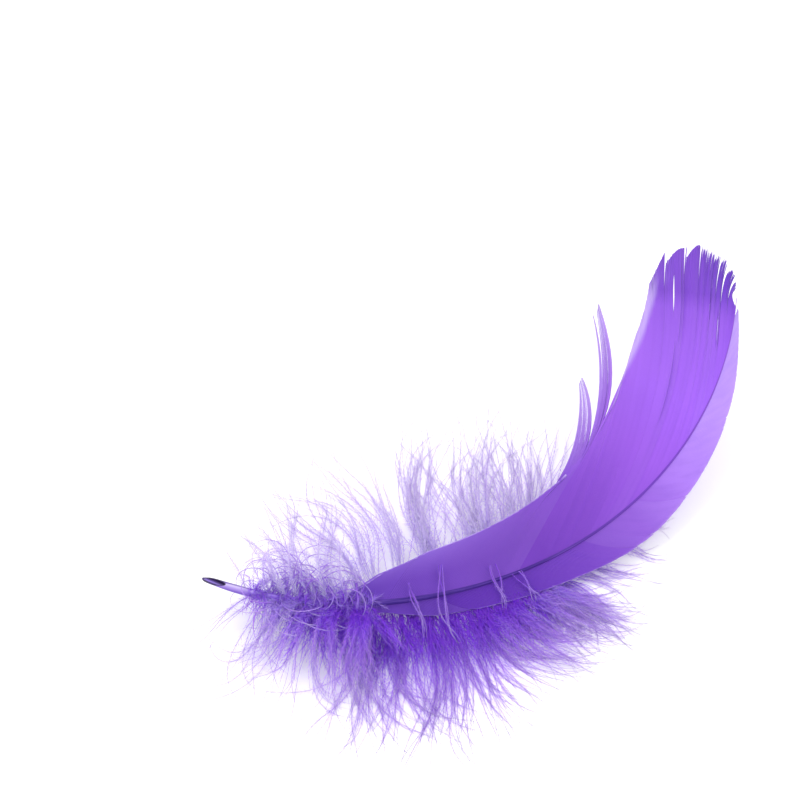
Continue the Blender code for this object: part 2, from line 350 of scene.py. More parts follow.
CREASES = (  # start share, where it begins and ends on the barb, half the gap and the step in mm
    (0.614, 0.78, 0.94, 0.18, 0.0),
    (0.628, 0.64, 0.98, 0.0, 0.55),
    (0.621, 0.34, 0.66, 0.04, 0.50),
    (0.775, 0.64, 0.84, 0.10, 0.25),
    (0.835, 0.38, 0.68, 0.04, -0.35),
)
CREASE_REACH = 0.012                         # start shares over which a crease fades away
LOOSE_GROUPS = (  # first and last start share, then of its barbs: share where they leave the margin,
    # heading and pitch in degrees at the end, lengths of the loose part of the first and last in mm
    (0.418, 0.449, 0.77, 94, 9, (20, 31)),
    (0.449, 0.482, 0.76, 100, 14, (26, 44)),
)
ON_VANE = 22                                 # samples of a loose barb before it leaves
LOOSE_EASE = 1.6                             # how early a loose barb has turned to its last heading
LOOSE_PINCH = 0.9                            # how far the barbs of a loose group come together
LOOSE_THINNING = 0.75                        # share of its width that a loose barb loses to its end
NARROW_SPLITS = ((0.330, 0.03, 0.008), (0.420, 0.02, 0.006), (0.560, 0.04, 0.008), (0.590, 0.03, 0.006),
                 (0.660, 0.02, 0.006), (0.790, 0.02, 0.006))
WIDEST_SPACING = 0.35 * MM                   # past this the barbs part and the gap shows
BARB_OVERLAP = 0.78                          # half width of a barb over the spacing of barbs
BARB_RIDGE = 0.30                            # height of the ridge over the half width
LEAST_BARB_WIDTH = 0.20 * MM
TRIANGLE_WIDENING = 1.15                     # makes a triangle as wide as the circle it is drawn in
HOOK_LENGTH = 1.6 * MM                       # how far barb ends hook over at the tip
HOOK_SHARES = (0.62, 0.87)                   # start shares between which the hooks grow to that length
HOOK_LIMIT = 0.7                             # the most of a barb's distance from the shaft that hooks over
COMB_START = 0.69                            # from this start share on, the lobes end in small teeth
COMB_FADE = 0.02                             # start shares over which the teeth grow
COMB_STEP = 0.0085                           # start shares from one tooth to the next
COMB_DEPTH = 0.016                           # share of the barb
CLUMP_PINCH = 0.12                           # how far the barbs of a lobe close up at their ends
CLUMP_HALF = 14                              # half the barbs of the largest lobe that closes up in full
END_UNEVENNESS = 0.0012                      # share of its length by which a barb may end early
END_STRAYING = 0.03 * MM
PINCH_POWER, HOOK_POWER, STRAY_POWER = 16, 6, 9   # the higher, the nearer to its end a barb does these
BLUNT_END, POINTED_END = 0.85, 0.35          # end width over width in the wide vane's lobes, and elsewhere
PALE_FROM = 0.92                             # share of a barb where its pale end starts
PALE_FADE = 0.09
PALE_STOP = (0.99, 1.03)                     # shares of the shaft between which the paleness stops
RIM_SHARES = (0.80, 0.88, 1.005, 1.045)      # end shares where a wider pale rim starts, is full, and ends
RIM_WIDTH = 0.15                             # share of the barbs
LOOSE_PALING = 0.14                          # loose ends have the colours of this share further along


def vane_surface(side, share, width):
    """Points of a vane's middle surface and the directions across its thickness."""
    roll = np.radians(np.interp(share, STATIONS, WIDE_ROLL if side > 0 else NARROW_ROLL))
    curl = np.radians(np.interp(share, STATIONS, WIDE_CURL if side > 0 else NARROW_CURL))
    along, across, up = shaft_frame(share, roll)
    turn = np.maximum(curl * width / CURL_WIDTH, 1e-6)[..., None]
    reach = width[..., None] / turn
    point = shaft_centre(share) + side * across * reach * np.sin(turn) + up * reach * (1 - np.cos(turn))
    return point, np.cos(turn) * up - side * np.sin(turn) * across


def polylines(name, paths, **attributes):
    """One wire mesh of open lines; paths and attributes are arrays of line by point."""
    lines, samples = paths.shape[:2]
    first = np.arange(lines * samples).reshape(lines, samples)
    edges = np.stack([first[:, :-1], first[:, 1:]], axis=-1).reshape(-1, 2)
    mesh = bpy.data.meshes.new(name)
    mesh.from_pydata(paths.reshape(-1, 3).tolist(), edges.tolist(), [])
    for key, values in attributes.items():
        values = np.asarray(values, float)
        if values.ndim < 3:
            values = np.broadcast_to(values, (lines, samples)).reshape(-1)
        else:
            values = values.reshape(-1, 3)
        put_attribute(mesh, key, values)
    wire = bpy.data.objects.new(name, mesh)
    bpy.context.collection.objects.link(wire)
    return wire


class Tree:
    """A geometry node tree that is built by calls, with named inputs for its sizes."""

    def __init__(self, name, **sizes):
        self.group = bpy.data.node_groups.new(name, "GeometryNodeTree")
        self.group.interface.new_socket("Geometry", in_out="INPUT", socket_type="NodeSocketGeometry")
        for key, value in sizes.items():
            kind = "NodeSocketInt" if isinstance(value, int) else "NodeSocketFloat"
            self.group.interface.new_socket(key, in_out="INPUT", socket_type=kind).default_value = value
        self.group.interface.new_socket("Geometry", in_out="OUTPUT", socket_type="NodeSocketGeometry")
        self.given = self.group.nodes.new("NodeGroupInput").outputs
        self.result = self.group.nodes.new("NodeGroupOutput").inputs[0]

    def add(self, kind, inputs=(), output=0, **settings):
        node = self.group.nodes.new(kind)
        for key, value in settings.items():
            setattr(node, key, value)
        for key, value in dict(inputs).items():
            if isinstance(value, bpy.types.NodeSocket):
                self.group.links.new(value, node.inputs[key])
            else:
                node.inputs[key].default_value = value
        return node.outputs[output]

    def sum_of(self, operation, *values):
        return self.add("ShaderNodeMath", dict(enumerate(values)), operation=operation)

    def read(self, name, data_type="FLOAT"):
        return self.add("GeometryNodeInputNamedAttribute", {"Name": name}, data_type=data_type)

    def finish(self, geometry, material):
        real = self.add("GeometryNodeRealizeInstances", {"Geometry": geometry})
        dressed = self.add("GeometryNodeSetMaterial", {"Geometry": real, "Material": material})
        self.group.links.new(dressed, self.result)

    def sweep(self, flatness, width):
        """The wire's lines, each facing as its points say, and flat strips swept along them."""
        line = self.add("GeometryNodeMeshToCurve", {"Mesh": self.given["Geometry"]})
        line = self.add("GeometryNodeSetCurveNormal", {
            "Curve": line, "Normal": self.read("facing", "FLOAT_VECTOR")}, mode="FREE")
        corners = self.add("GeometryNodeCurvePrimitiveCircle", {"Resolution": 3, "Radius": 1.0})
        flatten = self.add("ShaderNodeCombineXYZ", {"X": flatness, "Y": TRIANGLE_WIDENING, "Z": 1.0})
        corners = self.add("GeometryNodeTransform", {"Geometry": corners, "Scale": flatten})
        return line, self.add("GeometryNodeCurveToMesh", {
            "Curve": line, "Profile Curve": corners, "Scale": self.read(width), "Fill Caps": True})


def grow(wire, tree, name, **sizes):
    """Run a tree on a wire and keep the plain mesh that it makes; the wire goes."""
    modifier = wire.modifiers.new("growth", "NODES")
    modifier.node_group = tree.group
    items = tree.group.interface.items_tree
    sockets = {item.name: item.identifier for item in items if item.in_out == "INPUT"}
    for key, value in sizes.items():
        modifier[sockets[key]] = value
    shape = wire.evaluated_get(bpy.context.evaluated_depsgraph_get())
    grown_mesh = bpy.data.meshes.new_from_object(shape)
    grown_mesh.name = name
    wire.modifiers.remove(modifier)
    bpy.data.objects.remove(wire, do_unlink=True)
    piece = bpy.data.objects.new(name, grown_mesh)
    bpy.context.collection.objects.link(piece)
    return piece


def let_loose(path, facing, group, heading, pitch, lengths, chance):
    """The barbs of the group leave the vane after some samples and stand back from it as a spike."""
    free = path.shape[1] - ON_VANE
    s = np.linspace(0, 1, free + 1)[1:]
    x, y, z = (path[group, ON_VANE - 1] - path[group, ON_VANE - 2]).T
    first_heading = np.degrees(np.arctan2(y, x))[:, None]
    first_pitch = np.degrees(np.arctan2(z, np.hypot(x, y)))[:, None]
    ease = 1 - (1 - s[None, :]) ** LOOSE_EASE
    turn = np.radians(first_heading + (heading - first_heading) * ease)
    rise = np.radians(first_pitch + (pitch - first_pitch) * ease)
    reach = np.linspace(*lengths, group.sum()) * chance.uniform(0.88, 1.0, size=group.sum())
    step = (reach * MM / free)[:, None]
    steps = np.stack([np.cos(rise) * np.cos(turn) * step, np.cos(rise) * np.sin(turn) * step,
                      np.sin(rise) * step], axis=-1)
    path[group, ON_VANE:] = path[group, ON_VANE - 1:ON_VANE] + np.cumsum(steps, axis=1)
    middle = path[group].mean(axis=0)[ON_VANE:]
    path[group, ON_VANE:] += (middle - path[group, ON_VANE:]) * (LOOSE_PINCH * s ** 0.8)[None, :, None]
    facing[group, ON_VANE:] = facing[group, ON_VANE - 1:ON_VANE]


def barb_layout(side, barbs, count, samples, bow, seed, lift):
    """Paths of the barbs, with how they face, how wide they are and where they lie."""
    chance = np.random.default_rng(seed)
    start, end, width = np.array(barbs).T
    first = np.interp(np.linspace(0, 1, count), np.linspace(0, 1, len(start)), start)
    last = np.interp(first, start, end)
    wide = np.interp(first, start, width) * MM
    splits = SPLITS if side > 0 else NARROW_SPLITS
    groups = LOOSE_GROUPS if side > 0 else ()
    edges = [0] + [int(np.argmin(np.abs(first - share))) for share, *_ in splits] + [count]
    clump = np.searchsorted(edges, np.arange(count), side="right") - 1
    middle = np.array([(edges[c] + edges[c + 1] - 1) / 2 for c in clump])
    half_count = np.array([(edges[c + 1] - edges[c]) / 2 for c in clump])
    place = (np.arange(count) - middle) / half_count
    pinch = CLUMP_PINCH * np.minimum(1, CLUMP_HALF / half_count)
    raised = chance.uniform(-1, 1, size=len(edges))[clump]
    reach = 1 - chance.uniform(0, END_UNEVENNESS, size=count)
    for share, depth, rounding in splits:
        reach -= np.where(first < share, 0, depth * np.clip(1 - (first - share) / rounding, 0, 1) ** 1.5)
    if side > 0:
        reach -= COMB_DEPTH * (first / COMB_STEP % 1) * np.clip((first - COMB_START) / COMB_FADE, 0, 1)
    u = np.linspace(0, 1, samples)[None, :] * reach[:, None]
    loose = np.zeros(u.shape)
    members = [(first >= group_first) & (first < group_last) for group_first, group_last, *_ in groups]
    for group, (_, _, leaving, *_) in zip(members, groups):
        u[group, :ON_VANE] = np.linspace(0, leaving, ON_VANE)
        u[group, ON_VANE:] = leaving
        loose[group, ON_VANE:] = np.linspace(0, 1, samples - ON_VANE)
    share = first[:, None] + (last - first)[:, None] * u
    across = wide[:, None] * (1 - (1 - u) ** bow)
    path, facing = vane_surface(side, share, across)
    for group, (_, _, _, heading, pitch, lengths) in zip(members, groups):
        let_loose(path, facing, group, heading, pitch, lengths, chance)
    along = np.gradient(path, axis=1)
    along /= np.linalg.norm(along, axis=-1, keepdims=True)
    step = np.gradient(path, axis=0)
    step -= (step * along).sum(-1, keepdims=True) * along
    spacing = np.minimum(np.linalg.norm(step, axis=-1), WIDEST_SPACING)
    t = np.linspace(0, 1, samples)[None, :]
    centre = np.stack([path[clump == c].mean(axis=0) for c in range(clump.max() + 1)])[clump]
    path = path + (centre - path) * (pinch[:, None] * t ** PINCH_POWER)[..., None]
    rise = (raised * lift)[:, None] * t ** 2 + lift * (1 - place ** 2)[:, None] * t
    path = path + facing * rise[..., None]
    if side > 0:
        hook = np.minimum(np.interp(first, HOOK_SHARES, (0, HOOK_LENGTH)), HOOK_LIMIT * wide)
        hook *= chance.uniform(0.9, 1.1, size=count)
        _, sideways, _ = shaft_frame(share, np.zeros_like(share))
        path = path - sideways * (hook[:, None] * t ** HOOK_POWER)[..., None]
        towards_tip = step / np.linalg.norm(step, axis=-1, keepdims=True)
        for start_share, begin, end, gap, ledge in CREASES:
            beyond = ((first - start_share) / CREASE_REACH)[:, None]
            within = np.sin(math.pi * np.clip((t - begin) / (end - begin), 0, 1)) ** 0.7
            window = np.exp(-np.abs(beyond)) * within
            path = path + towards_tip * (window * np.sign(beyond) * gap * MM)[..., None]
            path = path + facing * (window * np.maximum(-np.sign(beyond) * ledge, 0) * MM)[..., None]
    path = path + chance.normal(0, END_STRAYING, size=(count, 1, 3)) * (t ** STRAY_POWER)[..., None]
    end_width = np.where((first < COMB_START) & (side > 0), BLUNT_END, POINTED_END)[:, None]
    taper = np.where(t < 1, 1, end_width) * (1 - LOOSE_THINNING * loose ** 2)
    half_width = np.maximum(spacing * BARB_OVERLAP, LEAST_BARB_WIDTH / 2) * taper
    tone = chance.uniform(0, 1, size=len(edges))[clump][:, None]
    rim = np.interp(last, RIM_SHARES, (0, 1, 1, 0)) * (side > 0)
    pale = np.clip((t - PALE_FROM + RIM_WIDTH * rim[:, None]) / PALE_FADE, 0, 1)
    pale = pale * np.interp(share, PALE_STOP, (1, 0))
    reaches_margin = u[:, -1:] > 0.9
    pale = np.where(loose > 0, loose ** 1.4, pale * reaches_margin)
    return path, dict(facing=facing, half_width=half_width, share=share + LOOSE_PALING * loose, along=u,
                      barb=first[:, None], tone=tone * np.ones_like(t), pale=pale)


silk = bpy.data.materials.new("dyed_barbs")
silk.use_nodes = True
silk_surface = silk.node_tree.nodes["Principled BSDF"]
share_of, along_barb, barb_start = (attribute(silk, name) for name in ("share", "along", "barb"))
# the wide vane's colours along the shaft, near it and at the margin: its own violet, with painted shade
# making it darker near its base, where the down behind keeps light from showing through
shaft_side = colour_ramp(silk, share_of, (
    (0.22, (86, 28, 174)), (0.34, (104, 44, 184)), (0.50, (112, 52, 184)), (0.60, (133, 70, 204)),
    (0.72, (159, 91, 230)), (0.82, (166, 100, 244)), (0.93, (155, 93, 234)), (1.04, (136, 76, 216))))
margin = colour_ramp(silk, share_of, (
    (0.22, (126, 82, 204)), (0.34, (148, 104, 222)), (0.50, (131, 71, 207)), (0.58, (119, 58, 201)),
    (0.68, (156, 95, 228)), (0.85, (173, 110, 241)), (0.97, (161, 100, 236)), (1.05, (132, 76, 212))))
web_colour = mix_colours(silk, ramp_value(silk, along_barb, ((0.25, 0.0), (1.0, 1.0))), shaft_side, margin)
# the narrow vane's colour along the shaft: its own violet, with painted light making it paler towards the
# tip, where it turns up to the light and light shows through it
narrow_vane_colour_and_light = colour_ramp(silk, share_of, (
    (0.25, (86, 28, 168)), (0.44, (98, 42, 178)), (0.55, (120, 64, 196)), (0.64, (146, 88, 216)),
    (0.72, (176, 126, 240)), (0.82, (190, 148, 250)), (0.92, (192, 156, 248)), (1.0, (196, 170, 245))))
web_colour = mix_colours(silk, attribute(silk, "narrow"), web_colour, narrow_vane_colour_and_light)
web_place = add_node(silk, "ShaderNodeCombineXYZ", {"X": barb_start, "Y": along_barb}).outputs["Vector"]
near_tip = add_node(silk, "ShaderNodeMath", {
    0: ramp_value(silk, share_of, ((0.96, 0.0), (1.03, 0.75))),
    1: ramp_value(silk, barb_start, ((0.70, 0.0), (0.86, 1.0)))}, operation="MULTIPLY").outputs[0]
# streaks along the barbs, a tone for each lobe, pale ends and a darker tip
for amount, colour in (
        (ramp_value(silk, noise(silk, web_place, (90, 1.6, 1)), ((0.42, 0.0), (0.72, 0.14))), (96, 44, 190)),
        (ramp_value(silk, attribute(silk, "tone"), ((0.6, 0.0), (1.0, 0.08))), (205, 170, 250)),
        (ramp_value(silk, attribute(silk, "pale"), ((0.0, 0.0), (1.0, 0.7))), (214, 192, 252)),
        (near_tip, (100, 50, 196))):
    web_colour = mix_colours(silk, amount, web_colour, srgb(*colour))
silk.node_tree.links.new(web_colour, silk_surface.inputs["Base Color"])
silk_surface.inputs["Roughness"].default_value = 0.55
silk_surface.inputs["Specular IOR Level"].default_value = 0.35
silk_surface.inputs["Sheen Weight"].default_value = 0.15
silk_surface.inputs["Sheen Roughness"].default_value = 0.4

for name, side, barbs, count, samples, bow, seed, lift in (
        ("wide_vane", 1, WIDE_BARBS, 400, 34, 1.8, 5, 0.20 * MM),
        ("narrow_vane", -1, NARROW_BARBS, 300, 16, 1.4, 8, 0.08 * MM)):
    paths, values = barb_layout(side, barbs, count, samples, bow, seed, lift)
    wire = polylines(name + "_wire", paths, narrow=np.full(paths.shape[:2], float(side < 0)), **values)
    tree = Tree("barb_web", Ridge=BARB_RIDGE)
    _, strips = tree.sweep(tree.given["Ridge"], "half_width")
    tree.finish(strips, silk)
    vane = grow(wire, tree, name, Ridge=BARB_RIDGE)
    vane.data.shade_smooth()
    fix_to_feather(vane)

# Down
# Below the vane the barbs have no hooks: they are limp, hair-thin threads with a haze of finer
# barbules on both sides and a bare end. They lie in tufts on the table or stand over the shaft.
DOWN_ROWS = (  # side, count, root shares, angles from the shaft in degrees, lengths of the first, middle
    # and last tuft in mm, tip height in mm, arch in mm
    (-1, 17, (0.085, 0.49), (132, 58), (21, 38, 24), 0.0, 0.4),
    (-1, 9, (0.110, 0.34), (120, 84), (16, 26, 29), 2.6, 3.0),
    (-1, 4, (0.38, 0.47), (76, 60), (27, 26, 24), 1.6, 0.0),
    (+1, 14, (0.080, 0.46), (128, 66), (18, 42, 40), 0.0, 0.4),
    (+1, 9, (0.100, 0.30), (136, 92), (15, 23, 26), 8.0, 3.0),
    (-1, 6, (0.44, 0.61), (66, 40), (24, 22, 14), 0.0, 0.6),
)
LOCK_SWAY = 9.0                              # degrees that a tuft sways from side to side
TUFT_TURN = 14                               # degrees that a tuft bends back over its length
LANDING_SHARE = 0.7                          # share of its length where a tuft has come down
TUFT_WAVE, THREAD_WAVE = (8, 22), (6, 24)    # degrees by which tufts and threads wave to a side
TUFT_BEND, THREAD_BEND = 0.7, 0.55           # spread of their bends, over the curl asked for
THREAD_SPREAD = 6                            # degrees by which the threads of a tuft set out apart
THREAD_SHORTENING = 0.28                     # share by which a thread may be shorter than its tuft
THREAD_SAMPLES = 26
THREAD_RADIUS = 0.050 * MM                   # at the root
HAIR_RADIUS = 0.026 * MM                     # at the end
RIPPLE_HEIGHT = 0.3 * MM                     # how far the end of a thread may rise and fall
FRINGE_LENGTH = 2.3 * MM                     # of the barbules, where they are longest
OPEN_FRINGE, COVERED_FRINGE = 0.5, -0.1      # where the fringe starts; below zero some way off the root
FRINGE_GROWTH = 4                            # the fringe is at its full length after 1/4 of a thread
SHORTEST_BARBULE = 0.2 * MM
BARBULE_SPLAY = (-0.75, 0.75)                # radians by which a barbule stands out of the fringe
BARBULE_LEAN = (0.6, 1.5)                    # least and most of the tree's Lean, in radians
BARBULE_LENGTH = (0.5, 1.2)                  # least and most of the fringe's length
THREAD_FLATNESS = 0.35                       # a thread's thickness over its width
THREAD_TWIST = 1.0                           # radians by which a thread turns about itself
UNDER_VANE_SHARE = 0.235                     # from here on, tufts are rooted under the vanes
UNDER_VANE_DROP = 7.0 * MM                   # the length in which those under the narrow one come down


def down_tufts():
    """The facts of each tuft, row by row; its chances are drawn as those of the CAD's locks."""
    chance = np.random.default_rng(11)
    rows = []
    for side, count, roots, angles, lengths, tip_height, arch in DOWN_ROWS:
        tufts = []
        for place in np.linspace(0, 1, count):
            root_share = roots[0] + (roots[1] - roots[0]) * place
            length = np.interp(place, (0, 0.5, 1), lengths) * MM * chance.uniform(0.9, 1.1)
            angle = angles[0] + (angles[1] - angles[0]) * place + chance.uniform(-7, 7)
            sway_start = chance.uniform(0, 1)
            tip = tip_height * MM * chance.uniform(0.8, 1.3)
            chance.uniform()                 # the CAD's locks draw their width here
            gap = (roots[1] - roots[0]) / (count - 1)
            tufts.append((side, root_share, gap, length, angle, sway_start, tip, arch * MM))
        rows.append(tufts)
    return rows


def wave(chance, s, least, most):
    """A wave along a line that starts anywhere and has between the least and the most periods."""
    return np.sin(2 * math.pi * (chance.uniform(least, most) * s + chance.uniform(0, 1)))


def walk(start, turn, step):
    """The x and the y of a line from its start on, by steps with these headings in radians."""
    return [start[axis] + np.concatenate([[0], np.cumsum(part(turn[1:]) * step)])
            for axis, part in enumerate((np.cos, np.sin))]


def threads_of(tufts, counts, seed, curl, layer, pale, stretch, bared=(0.78, 1.0)):
    """Threads that fill the tufts: each has its own root on the shaft, its bend, waves and length.

    Counts say how many there are to the first tuft and to the last, pale how pale these are. Curl
    is in degrees, layer the height over which they spread, stretch their reach over the tuft's, and
    bared the shares of a thread between which its fringe ends.
    """
    chance = np.random.default_rng(seed)
    s = np.linspace(0, 1, THREAD_SAMPLES)
    paths, fringes, tones = [], [], []
    numbers = np.linspace(*counts, len(tufts)).round().astype(int)
    for number, paleness, tuft in zip(numbers, np.linspace(*pale, len(tufts)), tufts):
        side, root_share, gap, length, angle, sway_start, tip, arch = tuft
        shaft_heading = np.polynomial.polynomial.polyval(root_share, HEADING)
        covered = root_share > UNDER_VANE_SHARE
        shared_bend = chance.normal(0, TUFT_BEND * curl) * s ** 1.6
        shared_bend += chance.uniform(*TUFT_WAVE) * s * wave(chance, s, 0.5, 1.2)
        for _ in range(number):
            root = shaft_centre(root_share + gap * chance.uniform(-0.4, 0.4))
            reach = stretch * (1 - THREAD_SHORTENING * chance.uniform(0, 1) ** 1.6)
            bearing = shaft_heading + side * (angle - TUFT_TURN * s * reach)
            bearing = bearing + LOCK_SWAY * np.sin(2 * math.pi * (s * reach + sway_start)) + shared_bend
            bearing = bearing + chance.normal(0, THREAD_SPREAD)
            bearing = bearing + chance.normal(0, THREAD_BEND * curl) * s ** 1.7
            bearing = bearing + chance.uniform(*THREAD_WAVE) * s * wave(chance, s, 0.6, 1.7)
            turn = np.radians(bearing)
            step = length * reach / (THREAD_SAMPLES - 1)
            drop = np.minimum(s * reach / LANDING_SHARE, 1)
            settle = drop * drop * (3 - 2 * drop)
            if side < 0 and covered:
                settle = 1 - (1 - np.minimum(s * reach * length / UNDER_VANE_DROP, 1)) ** 2
            height = root[2] + (tip - root[2]) * settle + arch * np.sin(math.pi * drop)
            height += layer * chance.uniform(-0.4, 1) * np.sin(math.pi * s * 0.75)
            height += RIPPLE_HEIGHT * s * wave(chance, s, 0.8, 1.8)
            paths.append(np.stack([*walk(root, turn, step), np.maximum(height, THREAD_RADIUS)], axis=-1))
            growth = np.clip((COVERED_FRINGE if covered else OPEN_FRINGE) + FRINGE_GROWTH * s, 0, 1)
            fringes.append(growth * np.clip(1 - s / chance.uniform(*bared), 0, 1) ** 0.35)
            tones.append(np.full(THREAD_SAMPLES, paleness + chance.uniform(-0.25, 0.25)))
    return np.array(paths), np.array(fringes), np.array(tones)


def thread_values(paths, fringes, tones, radius=THREAD_RADIUS, fringe_length=FRINGE_LENGTH, ripeness=1.0):
    """What the tree reads: ripeness is how far along the colours of a whole thread these ones get."""
    along = np.broadcast_to(np.linspace(0, 1, paths.shape[1]), paths.shape[:2])
    step = np.gradient(paths, axis=1)
    step /= np.linalg.norm(step, axis=-1, keepdims=True)
    sideways = np.cross((0.0, 0.0, 1.0), step)
    twist = THREAD_TWIST * np.sin(5 * along + 2.4 * np.arange(len(paths))[:, None])[..., None]
    facing = np.cos(twist) * np.cross(step, sideways) + np.sin(twist) * sideways
    return dict(facing=facing, fringe=fringes * fringe_length, along=along * ripeness, tone=tones,
                radius=HAIR_RADIUS + (radius - HAIR_RADIUS) * (1 - along ** 2))


def down_tree():
    """Each line becomes a thread with barbules leaning out on both of its sides."""
    tree = Tree("down_barb", Spacing=0.14 * MM, Thickness=0.024, Lean=0.62, Seed=3)
    line, thread = tree.sweep(THREAD_FLATNESS, "radius")
    spots = tree.add("GeometryNodeCurveToPoints", {
        "Curve": line, "Length": tree.given["Spacing"]}, mode="LENGTH")
    frame_at = tree.add("FunctionNodeAxesToRotation", {
        "Primary Axis": spots.node.outputs["Tangent"], "Secondary Axis": spots.node.outputs["Normal"]},
        primary_axis="Z", secondary_axis="X")
    index = tree.add("GeometryNodeInputIndex")
    flip = tree.sum_of("MULTIPLY", tree.sum_of("MODULO", index, 2.0), math.pi)
    splay, lean_by, uneven = (
        tree.add("FunctionNodeRandomValue", {
            "Min": least, "Max": most, "Seed": tree.sum_of("ADD", tree.given["Seed"], further)}, output=1)
        for further, (least, most) in enumerate((BARBULE_SPLAY, BARBULE_LEAN, BARBULE_LENGTH)))
    roll = tree.sum_of("ADD", tree.sum_of("ADD", flip, splay), math.pi / 2)
    about_thread = tree.add("FunctionNodeAxisAngleToRotation", {"Axis": (0, 0, 1), "Angle": roll})
    lean = tree.sum_of("MULTIPLY", lean_by, tree.given["Lean"])
    outwards = tree.add("FunctionNodeAxisAngleToRotation", {"Axis": (0, 1, 0), "Angle": lean})
    turned = tree.add("FunctionNodeRotateRotation", {
        "Rotation": frame_at, "Rotate By": about_thread}, rotation_space="LOCAL")
    turned = tree.add("FunctionNodeRotateRotation", {
        "Rotation": turned, "Rotate By": outwards}, rotation_space="LOCAL")
    barbule = tree.add("GeometryNodeMeshCone", {
        "Vertices": 3, "Radius Top": 0.0, "Radius Bottom": tree.given["Thickness"], "Depth": 1.0})
    height_on_barbule = tree.add("ShaderNodeSeparateXYZ", {
        "Vector": tree.add("GeometryNodeInputPosition")}, output=2)
    barbule = tree.add("GeometryNodeStoreNamedAttribute", {
        "Geometry": barbule, "Name": "out", "Value": height_on_barbule}, data_type="FLOAT", domain="POINT")
    length = tree.sum_of("MULTIPLY", tree.read("fringe"), uneven)
    barbules = tree.add("GeometryNodeInstanceOnPoints", {
        "Points": spots, "Instance": barbule, "Rotation": turned, "Scale": length,
        "Selection": tree.sum_of("GREATER_THAN", length, SHORTEST_BARBULE)})
    barbules = tree.add("GeometryNodeRealizeInstances", {"Geometry": barbules})
    both = tree.group.nodes.new("GeometryNodeJoinGeometry")
    tree.group.links.new(thread, both.inputs[0])
    tree.group.links.new(barbules, both.inputs[0])
    place = tree.add("GeometryNodeInputPosition")
    x, y, z = tree.add("ShaderNodeSeparateXYZ", {"Vector": place}).node.outputs
    above_table = tree.sum_of("MAXIMUM", z, 0.01 * MM)
    laid = tree.add("ShaderNodeCombineXYZ", {"X": x, "Y": y, "Z": above_table})
    return tree, tree.add("GeometryNodeSetPosition", {"Geometry": both.outputs[0], "Position": laid})


fluff = bpy.data.materials.new("dyed_down")
fluff.use_nodes = True
fluff_surface = fluff.node_tree.nodes["Principled BSDF"]
along_thread, out_barbule = attribute(fluff, "along"), attribute(fluff, "out")
thread_colour = colour_ramp(fluff, along_thread, (
    (0.0, (112, 34, 216)), (0.24, (142, 68, 244)), (0.7, (170, 124, 246)), (1.0, (146, 126, 186))))
haze_colour = colour_ramp(fluff, along_thread, (
    (0.0, (116, 36, 222)), (0.24, (150, 74, 252)), (0.54, (194, 140, 255)), (0.95, (218, 190, 255))))
paleness = attribute(fluff, "tone")
thread_colour = mix_colours(
    fluff, ramp_value(fluff, paleness, ((0.0, 0.0), (1.5, 0.6))), thread_colour, srgb(216, 204, 236))
haze_colour = mix_colours(
    fluff, ramp_value(fluff, paleness, ((0.0, 0.0), (1.5, 0.85))), haze_colour, srgb(234, 224, 252))
fluff_colour = mix_colours(
    fluff, ramp_value(fluff, out_barbule, ((0.0, 0.0), (0.12, 1.0))), thread_colour, haze_colour)
fluff.node_tree.links.new(fluff_colour, fluff_surface.inputs["Base Color"])
fluff_surface.inputs["Roughness"].default_value = 0.8
fluff_surface.inputs["Specular IOR Level"].default_value = 0.05
fluff_surface.inputs["Subsurface Weight"].default_value = 0.5
fluff_surface.inputs["Subsurface Radius"].default_value = (0.8, 0.5, 1.0)
fluff_surface.inputs["Subsurface Scale"].default_value = 0.5 * MM


def make_down(name, threads, seed, look=(), **sizes):
    """One piece of down; look changes what thread_values says of it, sizes what the tree takes."""
    tree, both = down_tree()
    tree.finish(both, fluff)
    wire = polylines(name + "_wire", threads[0], **thread_values(*threads, **dict(look)))
    fix_to_feather(grow(wire, tree, name, Seed=seed, **sizes))


FULLER = dict(Thickness=0.028)
SPARSER = dict(Spacing=0.18 * MM, Thickness=0.034)
tuft_rows = down_tufts()
# name, tufts, threads, seed, curl, layer, paleness and stretch, as threads_of takes them, and sizes
for name, tufts, counts, seed, curl, layer, pale, stretch, sizes in (
        ("down_front_quill_hairs", tuft_rows[0][:3], (2, 3), 40, 80, 1.0 * MM, (1.3, 0.8), 1.05, {}),
        ("down_front_quill_end", tuft_rows[0][3:9], (2, 22), 41, 60, 1.0 * MM, (1.1, -0.3), 1.06, FULLER),
        ("down_front_vane_end", tuft_rows[0][9:], (22, 16), 22, 40, 0.3 * MM, (-0.3, 0.2), 1.06, FULLER),
        ("down_front_over", tuft_rows[1][:5], (3, 15), 23, 54, 0.9 * MM, (0.7, -0.2), 1.10, FULLER),
        ("down_front_middle", tuft_rows[2], (16, 13), 24, 34, 0.2 * MM, (-0.2, 0.3), 1.20, FULLER),
        ("down_back", tuft_rows[3], (1, 25), 25, 40, 1.2 * MM, (1.2, 1.2), 1.2, SPARSER),
        ("down_back_over", tuft_rows[4][:5], (3, 3), 26, 85, 2.0 * MM, (1.1, 1.3), 1.0, SPARSER),
        ("down_side", tuft_rows[5], (9, 7), 27, 20, 0.0, (0.4, 0.8), 1.05, {})):
    make_down(name, threads_of(tufts, counts, seed, curl, layer, pale, stretch), seed, **sizes)
stray_hairs = threads_of(
    tuft_rows[0] + tuft_rows[2] + tuft_rows[5], (3, 2), 29, 52, 0.6 * MM, (0.6, 0.3), 1.12, (0.45, 0.7))
make_down("down_stray_hairs", stray_hairs, 28, dict(fringe_length=1.6 * MM))

# Afterfeather
# Round the top of the quill grow short down barbs that wrap over the shaft, with a dense web of them
# below it, and longer ones that coil into loops.


